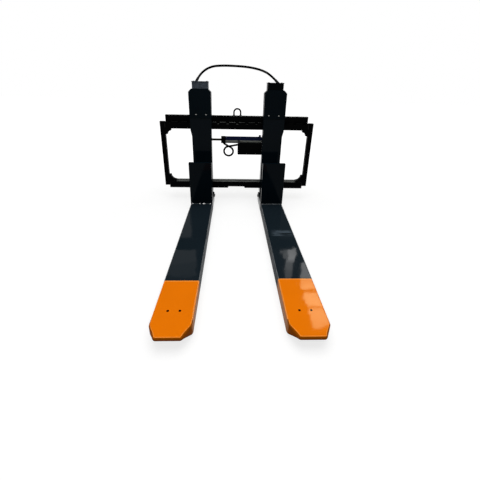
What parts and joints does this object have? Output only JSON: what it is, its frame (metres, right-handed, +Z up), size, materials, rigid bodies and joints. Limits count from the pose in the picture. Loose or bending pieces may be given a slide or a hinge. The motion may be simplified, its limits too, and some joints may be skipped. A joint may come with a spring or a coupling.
{
  "type": "telescopic fork carriage",
  "caption": "Hang-on side-shifting fork carriage with hydraulic forks whose outer sleeves slide forward over fixed inner blades; orange tips, notched bar and hose arch.",
  "frame": {"origin": "on the ground under the middle of the attachment's footprint", "axes": "+Z up, forks point along -Y, the truck is on the +Y side, +X to the right of someone who stands before the tips and faces the truck"},
  "size_m": [1.122, 1.43, 0.9766],
  "materials": {
    "fork_black": "gloss",
    "tip_orange": "gloss",
    "carriage_black": "satin",
    "cover_black": "satin",
    "cylinder_grey": "satin",
    "rod_chrome": "polished",
    "zinc": "satin",
    "hose": "matte",
    "pad": "matte"
  },
  "bodies": {
    "hook_frame": {"lifting_eye": "carriage_black", "low_hook_left": "carriage_black", "low_hook_right": "carriage_black", "low_rail": "carriage_black", "rod_bracket": "carriage_black", "shift_rod": "rod_chrome", "top_rail": "carriage_black", "truck_hook_left": "carriage_black", "truck_hook_right": "carriage_black", "upright_left": "carriage_black", "upright_right": "carriage_black"},
    "carriage": {"barrel_port": "zinc", "cap_box_left": "cover_black", "cap_box_right": "cover_black", "fork_left": "fork_black", "fork_right": "fork_black", "heel_fitting_left": "zinc", "heel_fitting_right": "zinc", "hook_cover_left": "cover_black", "hook_cover_right": "cover_black", "hose_arch": "hose", "hose_end_left": "zinc", "hose_end_right": "zinc", "lower_bar": "carriage_black", "lower_pad_left": "pad", "lower_pad_right": "pad", "shift_cylinder": "cylinder_grey", "shift_gland": "carriage_black", "side_plate_left": "carriage_black", "side_plate_right": "carriage_black", "upper_bar": "carriage_black", "upper_pad_left": "pad", "upper_pad_right": "pad", "valve_block": "carriage_black", "valve_fitting": "zinc", "valve_hose": "hose"},
    "sleeve_l": {"heel_plate_left": "fork_black", "nose_left": "tip_orange", "sleeve_left": "fork_black"},
    "sleeve_r": {"heel_plate_right": "fork_black", "nose_right": "tip_orange", "sleeve_right": "fork_black"}
  },
  "joints": [
    {"name": "side_shift", "type": "slide", "parent": "hook_frame", "child": "carriage", "axis": [1, 0, 0], "range_m": [-0.1, 0.1]},
    {"name": "extend_left", "type": "slide", "parent": "carriage", "child": "sleeve_l", "axis": [0, -1, 0], "range_m": [0, 0.7]},
    {"name": "extend_right", "type": "slide", "parent": "carriage", "child": "sleeve_r", "axis": [0, -1, 0], "range_m": [0, 0.7]}
  ]
}
